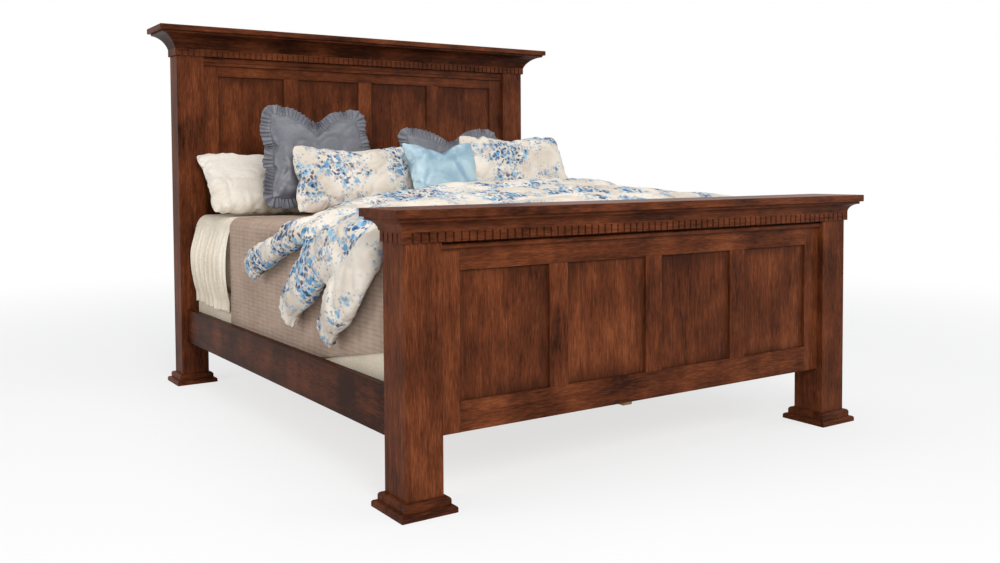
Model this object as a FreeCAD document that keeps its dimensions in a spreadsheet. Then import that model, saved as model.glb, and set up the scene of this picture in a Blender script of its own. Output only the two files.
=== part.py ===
"""Panel bed, king size: a dressed bed with a panelled headboard and footboard.

The frame stands on z = 0 with +Z up and +X to the right as seen from the foot.
+Y runs from the foot to the head, and the origin is the centre of the footprint.
All lengths are millimetres.
"""

import FreeCAD, Part
import math
import os
import re

Vector = FreeCAD.Vector

# ---------------------------------------------------------------- driving dimensions

DRIVING = [
    # posts and the overall frame
    ("post_span", 2080, "outside width across the posts"),
    ("post_width", 134, "post size across the bed"),
    ("foot_post_depth", 134, "foot post size along the bed"),
    ("head_post_depth", 112, "head post size along the bed"),
    ("rail_length", 2083, "side rail length, face of foot post to face of head post"),
    ("foot_height", 934, "floor to top of the footboard cap"),
    ("head_height", 1750, "floor to top of the headboard cap"),
    ("edge_round", 2.5, "eased edge of posts, rails and slats"),
    ("board_round", 1.2, "eased edge of the board's frame members"),
    # plinth blocks
    ("plinth_low_height", 21, "height of the wide plinth step"),
    ("plinth_low_reach", 32, "reach of the wide plinth step past the post"),
    ("plinth_low_round", 9, "rounding on the wide plinth step"),
    ("plinth_height", 49, "height of the whole plinth"),
    ("plinth_high_reach", 17, "reach of the upper plinth step past the post"),
    ("plinth_high_round", 12, "rounding on the upper plinth step"),
    # caps
    ("foot_cap_thick", 27, "footboard cap thickness"),
    ("foot_cap_reach", 54, "footboard cap overhang past the posts"),
    ("head_cap_thick", 26, "headboard cap thickness"),
    ("head_cap_reach", 106, "headboard cap overhang at the front and sides"),
    ("head_cap_back", 20, "headboard cap overhang at the back"),
    ("cap_round", 3, "eased edge of the caps"),
    # crown moulding and dentils
    ("fillet_height", 10, "flat step of the crown under the cap"),
    ("foot_crown_reach", 42, "reach of the footboard crown past the posts"),
    ("foot_crown_rise", 32, "height of the footboard cove"),
    ("foot_cove_radius", 34, "radius of the footboard cove"),
    ("head_crown_reach", 92, "reach of the headboard crown past the posts"),
    ("head_crown_rise", 64, "height of the headboard cove"),
    ("head_cove_radius", 96, "radius of the headboard cove"),
    ("crown_step", 3, "small step at the top of the cove"),
    ("dentil_height", 34, "height of the dentil strip"),
    ("dentil_reach", 9, "how far the dentil strip stands off the posts"),
    ("dentil_pitch", 29, "distance from one dentil to the next"),
    ("dentil_gap", 7, "gap between dentils"),
    ("dentil_cut", 6, "depth of the gap between dentils"),
    ("dentil_top", 4, "uncut strip above the dentils"),
    # panelled boards
    ("board_setback", 26, "front of the panelled board behind the post fronts"),
    ("frame_thick", 25, "thickness of the board's rails, stiles and muntins"),
    ("stile_width", 80, "visible width of an end stile"),
    ("muntin_width", 78, "width of a muntin"),
    ("tenon_depth", 12, "depth of the board's tongue in the post"),
    ("panel_thick", 9, "panel thickness"),
    ("panel_recess", 10, "panel face behind the frame face"),
    ("panel_seat", 8, "how far a panel enters its groove"),
    ("panel_float", 2, "free depth behind a panel in its groove"),
    ("fit_gap", 0.3, "clearance each side of a panel or tongue"),
    ("foot_board_low", 227, "floor to underside of the footboard"),
    ("foot_opening_low", 324, "floor to bottom of the footboard panels"),
    ("foot_opening_drop", 170, "underside of the footboard cap to top of the panels"),
    ("head_board_low", 330, "floor to underside of the headboard"),
    ("head_opening_low", 520, "floor to bottom of the headboard panels"),
    ("head_opening_drop", 200, "underside of the headboard cap to top of the panels"),
    ("foot_bead_gap", 7, "gap between the footboard's dentils and the bead below them"),
    ("foot_bead_height", 16, "height of that bead"),
    ("foot_bead_reach", 15, "how far that bead stands off the board"),
    ("foot_bead_round", 9, "rounding of that bead"),
    ("head_mould_height", 42, "height of the headboard moulding below the dentils"),
    ("head_mould_reach", 11, "how far that moulding stands off the board"),
    ("head_quirk_low", 14, "underside of the moulding to its groove"),
    ("head_quirk_size", 4, "width and depth of that groove"),
    ("frieze_back_thick", 20, "thickness of the board behind the crown's back run"),
    # side rails and the mattress support
    ("rail_thick", 32, "side rail thickness"),
    ("rail_low", 208, "floor to underside of the side rails"),
    ("rail_height", 160, "side rail height"),
    ("rail_inset", 30, "side rail face behind the outer post face"),
    ("ledger_size", 32, "section of the ledger strip inside each rail"),
    ("ledger_short", 20, "ledger stops this far from each end of the rail"),
    ("ledger_low", 211, "floor to underside of the ledgers"),
    ("slat_thick", 19, "slat thickness"),
    ("slat_width", 89, "slat width"),
    ("slat_count", 10, "number of slats"),
    ("slat_gap", 3, "gap from slat end to rail"),
    ("slat_margin", 40, "clear length between the last slat and the post"),
    ("beam_width", 45, "centre beam width"),
    ("beam_height", 70, "centre beam height"),
    ("beam_short", 30, "centre beam stops this far from the posts"),
    ("leg_size", 60, "centre leg section"),
    ("leg_spacing", 700, "distance between the centre legs"),
    ("leg_shift", 200, "centre legs' midpoint towards the head"),
    ("glide_radius", 16, "radius of the glide under a centre leg"),
    ("glide_thick", 5, "thickness of that glide"),
    ("screw_count", 7, "screws in each ledger"),
    ("screw_head_radius", 5, "screw head radius"),
    ("screw_shank_radius", 2.5, "screw shank radius"),
    ("screw_head_thick", 3, "screw head thickness"),
    ("screw_length", 52, "screw length under the head"),
    # hook-on rail fasteners
    ("plate_height", 110, "height of a rail fastener plate"),
    ("plate_width", 16, "width of a rail fastener plate"),
    ("plate_thick", 3, "thickness of a rail fastener plate"),
    ("hook_reach", 13, "how far a hook enters the post"),
    ("hook_height", 24, "height of a hook"),
    ("hook_thick", 4, "thickness of a hook"),
    ("hook_pitch", 56, "distance between the two hooks of a plate"),
    ("hook_drop", 10, "how far a hook drops behind its plate"),
    ("hook_side_gap", 0.8, "free width each side of a hook"),
    # mattress and foundation
    ("bedding_width", 1930, "mattress width"),
    ("bedding_length", 2032, "mattress length"),
    ("foundation_height", 229, "foundation height"),
    ("foundation_round", 14, "rounding of the foundation's edges"),
    ("foundation_split", 3, "gap between the two foundation halves"),
    ("mattress_height", 343, "mattress height"),
    ("mattress_round", 45, "rounding of the mattress edges"),
    ("rest_gap", 0.3, "gap between soft pieces that rest on each other"),
    # quilt and sheet
    ("quilt_thick", 9, "quilt thickness"),
    ("quilt_head", 540, "head edge of the quilt from the bed's middle"),
    ("quilt_hem_foot", 462, "floor to the quilt's hem at the footboard"),
    ("quilt_hem_head", 330, "floor to the quilt's hem where it is tucked in"),
    ("quilt_tuck_start", -910, "where the hem starts to drop, from the bed's middle"),
    ("quilt_tuck_end", -250, "where the hem is fully tucked in"),
    ("sheet_thick", 4, "sheet thickness on the mattress"),
    ("sheet_seam", 1, "gap between the quilt's edge and the sheet"),
    ("sheet_hem", 408, "floor to the hem of the sheet's side fall"),
    ("sheet_fall_top", 812, "floor to the top of the gathered side fall"),
    ("sheet_fold_depth", 13, "depth of a fold in the side fall"),
    ("sheet_fold_count", 7, "folds in each side fall"),
    ("sheet_bulge", 24, "how far the side fall bellies out"),
    # duvet
    ("duvet_gap", 0.3, "gap between the duvet and the quilt"),
    ("duvet_foot", -953, "foot edge of the duvet from the bed's middle"),
    ("duvet_side", 950, "half the duvet's width on top of the mattress"),
    ("duvet_right_fall", 620, "floor to the duvet's hem on the right side"),
    ("duvet_right_out", 48, "thickness of the duvet's right fall"),
    # ruffled borders
    ("ruffle_width", 46, "width of a sham's ruffled border"),
    ("ruffle_thick", 9, "thickness of that border"),
    ("ruffle_corner", 30, "corner rounding of that border"),
]

# Each cushion's width, height and thickness, then its centre across, along and above the
# floor, its lean back from upright and its turn in its own plane, both in degrees.
CUSHION_VALUES = ("width", "height", "thick", "across", "along", "up", "lean", "turn")
CUSHIONS = {
    "white_pillow_left": (920, 500, 128, -548, 848, 996, 58, 0),
    "white_pillow_right": (920, 500, 128, 480, 848, 996, 58, 0),
    "grey_sham_left": (620, 520, 106, -490, 622, 1112, 20, -2),
    "grey_sham_right": (680, 440, 106, 287, 622, 1064, 20, 0),
    "floral_sham_left": (650, 330, 140, -380, 452, 1012, 22, 0),
    "floral_sham_right": (680, 385, 140, 547, 452, 1044, 22, 0),
    "blue_pillow": (430, 345, 106, 20, 306, 1022, 24, 0),
}
DRIVING += [(f"{name}_{what}", value, f"{name.replace('_', ' ')}: {what}")
            for name, values in CUSHIONS.items() for what, value in zip(CUSHION_VALUES, values)]

doc = FreeCAD.newDocument("panel_bed")
sheet = doc.addObject("Spreadsheet::Sheet", "Sizes")
for row, (alias, value, meaning) in enumerate(DRIVING, start=1):
    sheet.set(f"A{row}", meaning)
    sheet.set(f"B{row}", str(value))
    sheet.setAlias(f"B{row}", alias)
doc.recompute()
CELLS = {alias: float(sheet.get(alias)) for alias, value, meaning in DRIVING}

# Places worked out from the driving dimensions, each as the text of an expression.
PLACES = {
    "half_span": "post_span / 2",
    "post_inner": "half_span - post_width",
    "foot_front": "foot_cap_reach - (foot_cap_reach + foot_post_depth + rail_length"
                  " + head_post_depth + plinth_low_reach) / 2",
    "foot_back": "foot_front + foot_post_depth",
    "head_front": "foot_back + rail_length",
    "head_back": "head_front + head_post_depth",
    "foot_cap_low": "foot_height - foot_cap_thick",
    "head_cap_low": "head_height - head_cap_thick",
    "foot_opening_high": "foot_cap_low - foot_opening_drop",
    "head_opening_high": "head_cap_low - head_opening_drop",
    "foot_dentil_high": "foot_cap_low - fillet_height - foot_crown_rise",
    "head_dentil_high": "head_cap_low - fillet_height - head_crown_rise",
    "foot_dentil_low": "foot_dentil_high - dentil_height",
    "head_dentil_low": "head_dentil_high - dentil_height",
    "panel_width": "(2 * post_inner - 2 * stile_width - 3 * muntin_width) / 4",
    "groove_depth": "panel_seat + panel_float",
    "rail_outer": "half_span - rail_inset",
    "rail_inner": "rail_outer - rail_thick",
    "rail_high": "rail_low + rail_height",
    "rail_middle": "rail_outer - rail_thick / 2",
    "plate_low": "rail_low + (rail_height - plate_height) / 2",
    "hook_low": "plate_low + (plate_height - hook_pitch - hook_height - hook_drop) / 2",
    "hook_back": "plate_thick + hook_side_gap",
    "slat_low": "ledger_low + ledger_size",
    "slat_high": "slat_low + slat_thick",
    "foundation_high": "slat_high + rest_gap + foundation_height",
    "mattress_low": "foundation_high + rest_gap",
    "mattress_high": "mattress_low + mattress_height",
    "bedding_foot": "(foot_back + head_front - bedding_length) / 2",
    "bedding_head": "bedding_foot + bedding_length",
    "quilt_inner": "bedding_width / 2 + rest_gap",
    "quilt_outer": "quilt_inner + quilt_thick",
    "quilt_high": "mattress_high + rest_gap + quilt_thick",
    "sheet_high": "mattress_high + rest_gap + sheet_thick",
}

NODES = []


def spelled_out(text):
    """Replace the names of places by their own expressions."""
    def swap(match):
        word = match.group()
        return f"({spelled_out(PLACES[word])})" if word in PLACES else word
    return re.sub(r"[a-z]+(?:_[a-z]+)+", swap, text)


def bind(item, prop, text):
    """Bind a property to the sheet with an expression."""
    def cell(match):
        word = match.group()
        return f"Sizes.{word}" if word in CELLS else word
    item.setExpression(prop, re.sub(r"[a-z]+(?:_[a-z]+)+", cell, spelled_out(text)))


def number(text):
    """The value of an expression over cells and places, for shapes made by Part's functions."""
    def figure(match):
        word = match.group()
        return f"({CELLS[word]:.9f})" if word in CELLS else word
    plain = re.sub(r"[a-z]+(?:_[a-z]+)+", figure, spelled_out(text))
    return FreeCAD.Units.parseQuantity(plain).Value


def node(item, name):
    """Register a finished sub-part under its node name."""
    item.Label = name
    NODES.append(item)
    return item


# ---------------------------------------------------------------- building blocks


def box(name, low, size):
    """A box from its low corner and its size, all six bound to the sheet."""
    solid = doc.addObject("Part::Box", name)
    for prop, text in zip(("Length", "Width", "Height"), size):
        bind(solid, prop, text)
    for axis, text in zip("xyz", low):
        bind(solid, f"Placement.Base.{axis}", text)
    return solid


def is_along(edge, axis):
    """Whether a straight edge runs along the axis numbered 0, 1 or 2."""
    start, end = edge.Vertexes[0].Point, edge.Vertexes[-1].Point
    run = end - start
    return run.Length > 0 and abs(abs(run[axis]) - run.Length) < 1e-6


def eased(solid, radius_text, wanted):
    """Round the edges of a solid that the test `wanted` picks."""
    solid.recompute()
    radius = number(radius_text)
    picked = [index for index, edge in enumerate(solid.Shape.Edges, start=1) if wanted(edge)]
    rounded = doc.addObject("Part::Fillet", solid.Name + "_eased")
    rounded.Base = solid
    rounded.Edges = [(index, radius, radius) for index in picked]
    return rounded


def eased_box(name, low, size, axis, radius_text="edge_round"):
    """A board whose long edges, those along one axis, are rounded."""
    return eased(box(name, low, size), radius_text, lambda edge: is_along(edge, axis))


def joined(name, pieces):
    union = doc.addObject("Part::MultiFuse", name)
    union.Shapes = pieces
    return union


def grouped(name, pieces):
    """Separate identical solids that share one node."""
    group = doc.addObject("Part::Compound", name)
    group.Links = pieces
    return group


def less(name, base, tools):
    """Take one or more tools away from a base."""
    cut = doc.addObject("Part::Cut", name)
    cut.Base = base
    cut.Tool = tools[0] if len(tools) == 1 else joined(name + "_tools", tools)
    return cut


def mirrored(name, source, axis="x"):
    """The mirror image of a piece: left to right, or from the foot end to the head end."""
    mirror = doc.addObject("Part::Mirroring", name)
    mirror.Source = source
    mirror.Normal = Vector(1, 0, 0) if axis == "x" else Vector(0, 1, 0)
    if axis == "y":
        bind(mirror, "Base.y", "(foot_back + head_front) / 2")
    return mirror


def shaped(name, shape):
    """A sub-part whose shape Part's functions made from the sheet's values."""
    feature = doc.addObject("Part::Feature", name)
    feature.Shape = shape
    return feature


# ---------------------------------------------------------------- side rail fasteners

HOOKS = ((1, "hook_low"), (2, "hook_low + hook_pitch"))


def hook_plate():
    """The plate let into the post, with a slot for each hook."""
    plate = box("slot_plate",
                ("-rail_middle - plate_width / 2", "foot_back - plate_thick", "plate_low"),
                ("plate_width", "plate_thick", "plate_height"))
    slots = [box(f"plate_slot_{place}",
                 ("-rail_middle - hook_thick / 2 - hook_side_gap", "foot_back - plate_thick",
                  f"{low} + hook_drop"),
                 ("hook_thick + 2 * hook_side_gap", "plate_thick", "hook_height"))
             for place, low in HOOKS]
    return less("slotted_plate", plate, slots)


def hooks():
    """The plate let into the rail's end, with its two hooks turned down behind the post plate."""
    pieces = [box("rail_plate",
                  ("-rail_middle - plate_width / 2", "foot_back", "plate_low"),
                  ("plate_width", "plate_thick", "plate_height"))]
    for place, low in HOOKS:
        pieces.append(box(f"hook_tab_{place}",
                          ("-rail_middle - hook_thick / 2", "foot_back - hook_reach",
                           f"{low} + hook_drop"),
                          ("hook_thick", "hook_reach", "hook_height - hook_drop")))
        pieces.append(box(f"hook_lip_{place}",
                          ("-rail_middle - hook_thick / 2", "foot_back - hook_reach", low),
                          ("hook_thick", "hook_reach - hook_back", "hook_height")))
    return joined("hook_set", pieces)


def hook_room():
    """The space that a fastener takes in the foot post: its plate and the hooks' cavities."""
    plate = box("plate_recess",
                ("-rail_middle - plate_width / 2", "foot_back - plate_thick", "plate_low"),
                ("plate_width", "plate_thick", "plate_height"))
    cavities = [box(f"hook_cavity_{place}",
                    ("-rail_middle - hook_thick / 2 - hook_side_gap",
                     "foot_back - hook_reach - hook_side_gap", f"{low} - hook_side_gap"),
                    ("hook_thick + 2 * hook_side_gap", "hook_reach + hook_side_gap",
                     "hook_height + hook_drop + 2 * hook_side_gap"))
                for place, low in HOOKS]
    return joined("hook_room", [plate] + cavities)


def four_corners(name, piece):
    """A piece at the left foot post, copied to the other three posts."""
    across = mirrored(name + "_right", piece)
    return grouped(name, [piece, across, mirrored(name + "_head", piece, "y"),
                          mirrored(name + "_head_right", across, "y")])


node(four_corners("rail_hooks", hooks()), "rail_hooks")
node(four_corners("post_hook_plates", hook_plate()), "post_hook_plates")

# ---------------------------------------------------------------- posts and plinths


def post(end, front, depth, top, board_low, room):
    """A post on the left with its groove for the board and its rail fastener's cavity."""
    blank = eased_box(f"{end}_post_blank", ("-half_span", front, "0"),
                      ("post_width", depth, top), 2)
    groove = box(f"{end}_post_groove",
                 ("-post_inner - tenon_depth", f"{front} + board_setback", board_low),
                 ("tenon_depth", "frame_thick", f"{top} - {board_low}"))
    left = less(f"{end}_post", blank, [groove, room])
    node(left, f"{end}_post_left")
    node(mirrored(f"{end}_post_mirror", left), f"{end}_post_right")


def plinth_step(name, front, depth, low, top, reach, rounding):
    """One step of a plinth: a block past the post on all sides, rounded on its top edges."""
    block = box(name, (f"-half_span - {reach}", f"{front} - {reach}", low),
                (f"post_width + 2 * {reach}", f"{depth} + 2 * {reach}", f"{top} - {low}"))
    level = number(top)
    return eased(block, rounding, lambda edge: all(
        abs(vertex.Z - level) < 1e-6 for vertex in edge.Vertexes))


def plinth(end, front, depth):
    """The stepped base moulding that wraps a left post."""
    steps = joined(f"{end}_plinth_steps", [
        plinth_step(f"{end}_plinth_low", front, depth, "0", "plinth_low_height",
                    "plinth_low_reach", "plinth_low_round"),
        plinth_step(f"{end}_plinth_high", front, depth, "plinth_low_height", "plinth_height",
                    "plinth_high_reach", "plinth_high_round")])
    core = box(f"{end}_plinth_core", ("-half_span", front, "0"),
               ("post_width", depth, "plinth_height"))
    left = less(f"{end}_plinth", steps, [core])
    node(left, f"{end}_plinth_left")
    node(mirrored(f"{end}_plinth_mirror", left), f"{end}_plinth_right")


foot_hook_room = hook_room()
post("foot", "foot_front", "foot_post_depth", "foot_cap_low", "foot_board_low", foot_hook_room)
post("head", "head_front", "head_post_depth", "head_cap_low", "head_board_low",
     mirrored("head_hook_room", foot_hook_room, "y"))
plinth("foot", "foot_front", "foot_post_depth")
plinth("head", "head_front", "head_post_depth")

# ---------------------------------------------------------------- panelled boards

OPENINGS = range(4)


def opening_left(index):
    return f"(-post_inner + stile_width + {index} * (panel_width + muntin_width))"


def panelled_board(end, low, opening_low, opening_high, top):
    """A frame of stiles, rails and muntins round four flat panels, between two posts."""
    front = f"{end}_front + board_setback"
    groove_front = f"{front} + panel_recess - fit_gap"
    groove_wide = "panel_thick + 2 * fit_gap"
    opening_height = f"{opening_high} - {opening_low}"
    between = "post_inner - stile_width"

    def upright_groove(name, left):
        return box(name, (left, groove_front, f"{opening_low} - groove_depth"),
                   ("groove_depth", groove_wide, f"{opening_height} + 2 * groove_depth"))

    def level_groove(name, bottom):
        return box(name, (f"-({between})", groove_front, bottom),
                   (f"2 * ({between})", groove_wide, "groove_depth"))

    stile = less(f"{end}_stile", eased_box(
        f"{end}_stile_blank", ("-post_inner - tenon_depth", front, low),
        ("stile_width + tenon_depth", "frame_thick", f"{top} - {low}"), 2, "board_round"),
        [upright_groove(f"{end}_stile_groove", "-post_inner + stile_width - groove_depth")])
    node(stile, f"{end}board_stile_left")
    node(mirrored(f"{end}_stile_mirror", stile), f"{end}board_stile_right")

    bottom_rail = eased_box(f"{end}_bottom_blank", (f"-({between})", front, low),
                            (f"2 * ({between})", "frame_thick", f"{opening_low} - {low}"),
                            0, "board_round")
    node(less(f"{end}_bottom_rail", bottom_rail, [
        level_groove(f"{end}_bottom_groove", f"{opening_low} - groove_depth")]),
        f"{end}board_bottom_rail")
    top_rail = eased_box(f"{end}_top_blank", (f"-({between})", front, opening_high),
                         (f"2 * ({between})", "frame_thick", f"{top} - {opening_high}"),
                         0, "board_round")
    node(less(f"{end}_top_rail", top_rail, [level_groove(f"{end}_top_groove", opening_high)]),
         f"{end}board_top_rail")

    muntins = []
    for index in OPENINGS[1:]:
        left = f"{opening_left(index)} - muntin_width"
        blank = eased_box(f"{end}_muntin_blank_{index}", (left, front, opening_low),
                          ("muntin_width", "frame_thick", opening_height), 2, "board_round")
        muntins.append(less(f"{end}_muntin_{index}", blank, [
            upright_groove(f"{end}_muntin_groove_left_{index}", left),
            upright_groove(f"{end}_muntin_groove_right_{index}",
                           f"{left} + muntin_width - groove_depth")]))
    node(grouped(f"{end}_muntins", muntins), f"{end}board_muntins")

    for index in OPENINGS:
        panel = box(f"{end}_panel_{index}",
                    (f"{opening_left(index)} - panel_seat", f"{front} + panel_recess",
                     f"{opening_low} - panel_seat"),
                    ("panel_width + 2 * panel_seat", "panel_thick",
                     f"{opening_height} + 2 * panel_seat"))
        node(panel, f"{end}board_panel_{index + 1}")


panelled_board("foot", "foot_board_low", "foot_opening_low", "foot_opening_high",
               "foot_cap_low")
panelled_board("head", "head_board_low", "head_opening_low", "head_opening_high",
               "head_cap_low")

# ---------------------------------------------------------------- friezes and mouldings


def frieze(name, end, back, depth):
    """The board between the posts that backs the dentils and the crown."""
    return box(name, ("-post_inner", back, f"{end}_dentil_low"),
               ("2 * post_inner", depth, f"{end}_cap_low - {end}_dentil_low"))


node(grouped("foot_friezes", [
    frieze("foot_frieze_front", "foot", "foot_front", "board_setback"),
    frieze("foot_frieze_back", "foot", "foot_back - frieze_back_thick", "frieze_back_thick"),
]), "footboard_friezes")
node(frieze("head_frieze", "head", "head_front", "board_setback"), "headboard_frieze")


def is_front_edge(front, high):
    """A test for the level edge across the bed at one place along it and one height."""
    def wanted(edge):
        return is_along(edge, 0) and all(
            abs(vertex.Y - front) < 1e-6 and abs(vertex.Z - high) < 1e-6
            for vertex in edge.Vertexes)
    return wanted


def footboard_bead():
    """The rounded bead on the board, just below the dentils."""
    front = "foot_front + board_setback - foot_bead_reach"
    high = "foot_dentil_low - foot_bead_gap"
    strip = box("foot_bead_strip", ("-post_inner", front, f"{high} - foot_bead_height"),
                ("2 * post_inner", "foot_bead_reach", "foot_bead_height"))
    return eased(strip, "foot_bead_round", is_front_edge(number(front), number(high)))


def headboard_mould():
    """The grooved moulding on the board, just below the dentils."""
    front = "head_front + board_setback - head_mould_reach"
    low = "head_dentil_low - head_mould_height"
    strip = eased_box("head_mould_strip", ("-post_inner", front, low),
                      ("2 * post_inner", "head_mould_reach", "head_mould_height"), 0)
    quirk = box("head_quirk", ("-post_inner", front, f"{low} + head_quirk_low"),
                ("2 * post_inner", "head_quirk_size", "head_quirk_size"))
    return less("head_mould", strip, [quirk])


node(footboard_bead(), "footboard_bead")
node(headboard_mould(), "headboard_mould")


def hollow_edge(start, end, radius):
    """An arc from start to end that bows away from the outside of a cove, below its chord's
    upper side, so that the moulding is hollow."""
    chord = end - start
    middle = (start + end) * 0.5
    inward = Vector(-chord.y, chord.x, 0).normalize()
    sagitta = radius - math.sqrt(radius ** 2 - (chord.Length / 2) ** 2)
    return Part.Arc(start, middle + inward * sagitta, end)


def crown_profile(end):
    """The crown's section: reach past the post across, height up."""
    low = number(f"{end}_dentil_high")
    high = number(f"{end}_cap_low")
    reach = number(f"{end}_crown_reach")
    toe = Vector(number("dentil_reach"), low, 0)
    lip = Vector(reach - number("crown_step"), high - number("fillet_height"), 0)
    corners = [lip, Vector(reach, lip.y, 0), Vector(reach, high, 0), Vector(0, high, 0),
               Vector(0, low, 0), toe]
    sides = [Part.LineSegment(start, stop) for start, stop in zip(corners, corners[1:])]
    return [hollow_edge(toe, lip, number(f"{end}_cove_radius"))] + sides


def dentil_profile(end):
    """The dentil strip's section, before its gaps are cut."""
    low, high = number(f"{end}_dentil_low"), number(f"{end}_dentil_high")
    reach = number("dentil_reach")
    corners = [Vector(0, low, 0), Vector(reach, low, 0), Vector(reach, high, 0),
               Vector(0, high, 0)]
    return [Part.LineSegment(start, stop)
            for start, stop in zip(corners, corners[1:] + corners[:1])]


def mitred_length(profile, start, stop, mitre_start, mitre_stop):
    """One straight length of moulding on the outside of the line from start to stop.

    The outside is to the left of that line. A mitred end runs out at 45 degrees.
    """
    run = (stop - start).normalize()
    outward = Vector(-run.y, run.x, 0)
    section = Part.Wire([curve.toShape() for curve in profile])
    reach = section.BoundBox.XMax
    frame = FreeCAD.Matrix(outward.x, 0, run.x, start.x - run.x * reach,
                           outward.y, 0, run.y, start.y - run.y * reach,
                           0, 1, 0, 0,
                           0, 0, 0, 1)
    blank = Part.Face(section.transformed(frame)).extrude(run * (start.distanceToPoint(stop)
                                                                 + 2 * reach))
    far_start = start + (outward - run * mitre_start) * reach
    far_stop = stop + (outward + run * mitre_stop) * reach
    plan = Part.Face(Part.makePolygon([start, stop, far_stop, far_start, start]))
    return blank.common(plan.extrude(Vector(0, 0, section.BoundBox.YMax)))


def board_corners(end):
    """The outer corners of a board's posts, from the back left, round by the front."""
    side = number("half_span")
    front, back = number(f"{end}_front"), number(f"{end}_back")
    return [Vector(side, back, 0), Vector(side, front, 0), Vector(-side, front, 0),
            Vector(-side, back, 0)]


def moulding_runs(end, closed):
    """Each length round a board as (start, stop, mitred start, mitred stop)."""
    corners = board_corners(end)
    runs = list(zip(corners, corners[1:]))
    if closed:
        return [(start, stop, 1, 1) for start, stop in runs + [(corners[-1], corners[0])]]
    last = len(runs) - 1
    return [(start, stop, int(place > 0), int(place < last))
            for place, (start, stop) in enumerate(runs)]


def crown(end, closed):
    """The cove moulding under a cap, mitred round the corners."""
    profile = crown_profile(end)
    return shaped(f"{end}_crown", Part.makeCompound(
        [mitred_length(profile, *run) for run in moulding_runs(end, closed)]))


def dentil_gaps(end, start, stop):
    """The gaps between dentils along one length, centred on it."""
    run = (stop - start).normalize()
    outward = Vector(-run.y, run.x, 0)
    length = start.distanceToPoint(stop)
    pitch, gap, cut = number("dentil_pitch"), number("dentil_gap"), number("dentil_cut")
    reach = number("dentil_reach")
    count = int(length / pitch)
    low = number(f"{end}_dentil_low")
    height = number("dentil_height") - number("dentil_top")
    gaps = []
    for index in range(count):
        along = length / 2 + (index - (count - 1) / 2) * pitch - gap / 2
        corner = start + run * along + outward * (reach - cut)
        sides = [corner, corner + run * gap, corner + run * gap + outward * cut,
                 corner + outward * cut, corner]
        gap_plan = Part.Face(Part.makePolygon([point + Vector(0, 0, low) for point in sides]))
        gaps.append(gap_plan.extrude(Vector(0, 0, height)))
    return gaps


def dentils(end):
    """The dentil strip round the front and sides of a board, mitred at the posts."""
    profile = dentil_profile(end)
    lengths = []
    for start, stop, mitre_start, mitre_stop in moulding_runs(end, False):
        strip = mitred_length(profile, start, stop, mitre_start, mitre_stop)
        lengths.append(strip.cut(dentil_gaps(end, start, stop)))
    return shaped(f"{end}_dentils", Part.makeCompound(lengths))


node(crown("foot", closed=True), "footboard_crown")
node(crown("head", closed=False), "headboard_crown")
node(dentils("foot"), "footboard_dentils")
node(dentils("head"), "headboard_dentils")


def cap(end, reach, back_reach):
    """The flat top board, eased on every edge."""
    blank = box(f"{end}_cap_blank",
                (f"-half_span - {reach}", f"{end}_front - {reach}", f"{end}_cap_low"),
                (f"post_span + 2 * {reach}", f"{end}_post_depth + {reach} + {back_reach}",
                 f"{end}_cap_thick"))
    return eased(blank, "cap_round", lambda edge: True)


node(cap("foot", "foot_cap_reach", "foot_cap_reach"), "footboard_cap")
node(cap("head", "head_cap_reach", "head_cap_back"), "headboard_cap")

# ---------------------------------------------------------------- side rails and support


def ledger_screws():
    """The screws through the left ledger into its rail, heads flush with the ledger."""
    count = int(CELLS["screw_count"])
    length = number("rail_length - 2 * ledger_short")
    head_face = number("-rail_inner + ledger_size")
    high = number("ledger_low + ledger_size / 2")
    screws = []
    for index in range(count):
        along = number("foot_back + ledger_short") + length * (index + 0.5) / count
        face = Vector(head_face, along, high)
        inward = Vector(-1, 0, 0)
        screw_head = Part.makeCylinder(number("screw_head_radius"), number("screw_head_thick"),
                                       face, inward)
        shank = Part.makeCylinder(number("screw_shank_radius"), number("screw_length"),
                                  face, inward)
        screws.append(screw_head.fuse(shank))
    return shaped("ledger_screws_left", Part.makeCompound(screws))


screws = ledger_screws()
rail_plate_recess = box("rail_plate_recess",
                        ("-rail_middle - plate_width / 2", "foot_back", "plate_low"),
                        ("plate_width", "plate_thick", "plate_height"))
rail_blank = eased_box("rail_blank", ("-rail_outer", "foot_back", "rail_low"),
                       ("rail_thick", "rail_length", "rail_height"), 1)
side_rail = less("side_rail", rail_blank, [
    rail_plate_recess, mirrored("rail_plate_recess_head", rail_plate_recess, "y"), screws])
node(side_rail, "side_rail_left")
node(mirrored("side_rail_mirror", side_rail), "side_rail_right")

ledger = less("ledger", eased_box(
    "ledger_blank", ("-rail_inner", "foot_back + ledger_short", "ledger_low"),
    ("ledger_size", "rail_length - 2 * ledger_short", "ledger_size"), 1), [screws])
node(ledger, "ledger_left")
node(mirrored("ledger_mirror", ledger), "ledger_right")
node(grouped("ledger_screws", [screws, mirrored("ledger_screws_right", screws)]),
     "ledger_screws")


def slats():
    """Evenly spaced slats on the ledgers."""
    count = int(CELLS["slat_count"])
    step = f"(rail_length - 2 * slat_margin - slat_width) / {count - 1}"
    return [eased_box(f"slat_{index}",
                      ("-rail_inner + slat_gap", f"foot_back + slat_margin + {index} * {step}",
                       "slat_low"),
                      ("2 * (rail_inner - slat_gap)", "slat_width", "slat_thick"), 0)
            for index in range(count)]


node(grouped("slats", slats()), "slats")
node(eased_box("beam", ("-beam_width / 2", "foot_back + beam_short", "slat_low - beam_height"),
               ("beam_width", "rail_length - 2 * beam_short", "beam_height"), 1), "centre_beam")


def leg_place(sign):
    return f"leg_shift {sign} leg_spacing / 2"


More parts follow.
